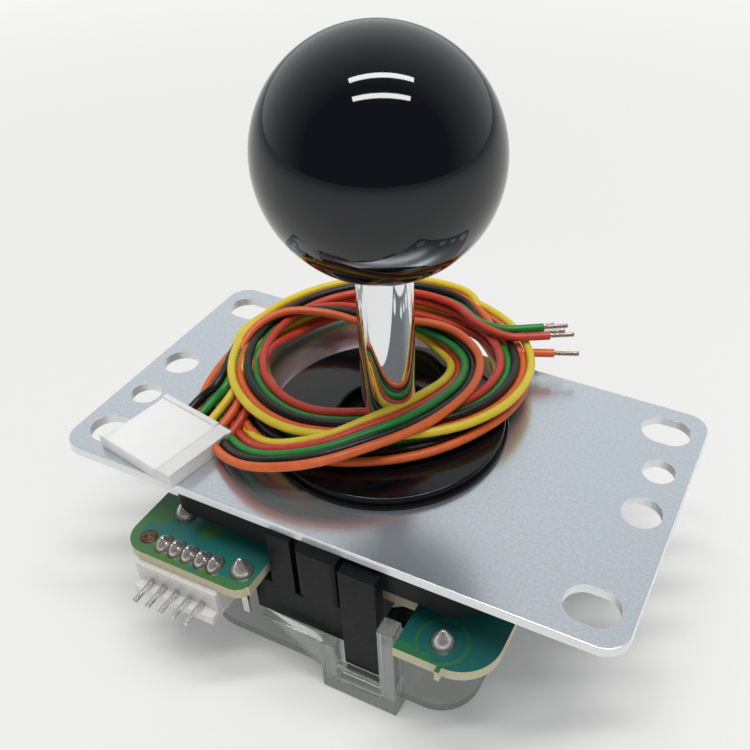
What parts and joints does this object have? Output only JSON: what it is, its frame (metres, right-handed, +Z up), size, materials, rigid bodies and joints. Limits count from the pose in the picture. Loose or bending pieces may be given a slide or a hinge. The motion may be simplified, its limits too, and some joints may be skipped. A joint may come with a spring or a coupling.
{
  "type": "arcade joystick lever",
  "caption": "Ball-topped joystick lever on a flat steel mounting plate, with lever switches on a circuit board, a clear square gate, and a wiring harness lying on the plate.",
  "frame": {"origin": "on the lever's axis in the mounting plate's top face", "axes": "+Z up along the upright lever, +X along the plate's long side, the wiring header faces -Y"},
  "size_m": [0.097, 0.075, 0.1],
  "materials": {
    "ball_black": "polished moulded ball",
    "chrome": "bright chrome plating",
    "steel": "turned steel",
    "zinc_plate": "bright zinc plating with a faint blue cast",
    "washer_black": "glossy, finely scratched",
    "black_screw": "black oxide",
    "housing_black": "satin moulded",
    "nylon_white": "milky, slightly translucent",
    "nylon_black": "moulded",
    "spring_steel": "bare spring steel",
    "board_green": "green solder mask over copper traces",
    "solder": "bright tin solder",
    "tin_pin": "tin plated",
    "clear_gate": "clear moulded plastic",
    "switch_black": "moulded",
    "switch_red": "moulded",
    "strand_copper": "tinned copper strands",
    "wire_black_pvc": "soft insulation",
    "wire_green_pvc": "soft insulation",
    "wire_yellow_pvc": "soft insulation",
    "wire_orange_pvc": "soft insulation",
    "wire_red_pvc": "soft insulation"
  },
  "bodies": {
    "base": {"dust_washer": "washer_black", "mounting_plate": "zinc_plate", "plate_screws": "black_screw", "housing": "housing_black", "circuit_board": "board_green", "switch_solder": "solder", "header_solder": "solder", "header_body": "nylon_white", "header_pins": "tin_pin", "switch_terminals": "tin_pin", "gate_frame": "clear_gate", "restrictor_plate": "clear_gate", "harness_plug": "nylon_white", "plug_contacts": "tin_pin", "wire_coil": "wire_black_pvc", "bare_strands": "strand_copper", "switch_case_front": "switch_black", "switch_case_right": "switch_black", "switch_case_back": "switch_black", "switch_case_left": "switch_black", "wire_black": "wire_black_pvc", "wire_black_end": "wire_black_pvc", "wire_green": "wire_green_pvc", "wire_green_end": "wire_green_pvc", "wire_yellow": "wire_yellow_pvc", "wire_yellow_end": "wire_yellow_pvc", "wire_orange": "wire_orange_pvc", "wire_orange_end": "wire_orange_pvc", "wire_red": "wire_red_pvc", "wire_red_end": "wire_red_pvc"},
    "gimbal": {"centring_spring": "spring_steel"},
    "rocker": {"pivot": "nylon_black", "spring_washer": "nylon_black"},
    "lever": {"shaft": "chrome", "ball_top": "ball_black", "ball_insert": "steel", "actuator": "nylon_black", "retaining_clip": "spring_steel"},
    "leaf_front": {"switch_lever_front": "spring_steel"},
    "plunger_front": {"switch_plunger_front": "switch_red"},
    "leaf_right": {"switch_lever_right": "spring_steel"},
    "plunger_right": {"switch_plunger_right": "switch_red"},
    "leaf_back": {"switch_lever_back": "spring_steel"},
    "plunger_back": {"switch_plunger_back": "switch_red"},
    "leaf_left": {"switch_lever_left": "spring_steel"},
    "plunger_left": {"switch_plunger_left": "switch_red"}
  },
  "joints": [
    {"name": "tilt_forward_back", "type": "hinge", "parent": "base", "child": "gimbal", "pos_m": [0, 0, -0.008], "axis": [1, 0, 0], "range_deg": [-8, 8], "stiffness_Nm_per_rad": 0.5},
    {"name": "tilt_left_right", "type": "hinge", "parent": "gimbal", "child": "rocker", "pos_m": [0, 0, -0.008], "axis": [0, 1, 0], "range_deg": [-8, 8], "stiffness_Nm_per_rad": 0.5, "deforming": ["centring_spring"]},
    {"name": "lever_spin", "type": "hinge", "parent": "rocker", "child": "lever", "pos_m": [0, 0, -0.008], "axis": [0, 0, 1], "continuous": true},
    {"name": "leaf_swing_front", "type": "hinge", "parent": "base", "child": "leaf_front", "pos_m": [-0.0086, -0.012, -0.0166], "axis": [0, 0, 1], "range_deg": [-6.6, 6.6]},
    {"name": "plunger_slide_front", "type": "slide", "parent": "base", "child": "plunger_front", "axis": [0, 1, 0], "range_m": [-0.0006, 0.0006]},
    {"name": "leaf_swing_right", "type": "hinge", "parent": "base", "child": "leaf_right", "pos_m": [0.012, -0.0086, -0.0166], "axis": [0, 0, 1], "range_deg": [-6.6, 6.6]},
    {"name": "plunger_slide_right", "type": "slide", "parent": "base", "child": "plunger_right", "axis": [-1, 0, 0], "range_m": [-0.0006, 0.0006]},
    {"name": "leaf_swing_back", "type": "hinge", "parent": "base", "child": "leaf_back", "pos_m": [0.0086, 0.012, -0.0166], "axis": [0, 0, 1], "range_deg": [-6.6, 6.6]},
    {"name": "plunger_slide_back", "type": "slide", "parent": "base", "child": "plunger_back", "axis": [0, -1, 0], "range_m": [-0.0006, 0.0006]},
    {"name": "leaf_swing_left", "type": "hinge", "parent": "base", "child": "leaf_left", "pos_m": [-0.012, 0.0086, -0.0166], "axis": [0, 0, 1], "range_deg": [-6.6, 6.6]},
    {"name": "plunger_slide_left", "type": "slide", "parent": "base", "child": "plunger_left", "axis": [1, 0, 0], "range_m": [-0.0006, 0.0006]}
  ],
  "couplings": [
    {"joint": "leaf_swing_front", "follows": "tilt_forward_back", "ratio": 0.7834},
    {"joint": "plunger_slide_front", "follows": "tilt_forward_back", "m_per_rad": 0.004074},
    {"joint": "leaf_swing_right", "follows": "tilt_left_right", "ratio": 0.7834},
    {"joint": "plunger_slide_right", "follows": "tilt_left_right", "m_per_rad": 0.004074},
    {"joint": "leaf_swing_back", "follows": "tilt_forward_back", "ratio": -0.7834},
    {"joint": "plunger_slide_back", "follows": "tilt_forward_back", "m_per_rad": -0.004074},
    {"joint": "leaf_swing_left", "follows": "tilt_left_right", "ratio": -0.7834},
    {"joint": "plunger_slide_left", "follows": "tilt_left_right", "m_per_rad": -0.004074}
  ]
}
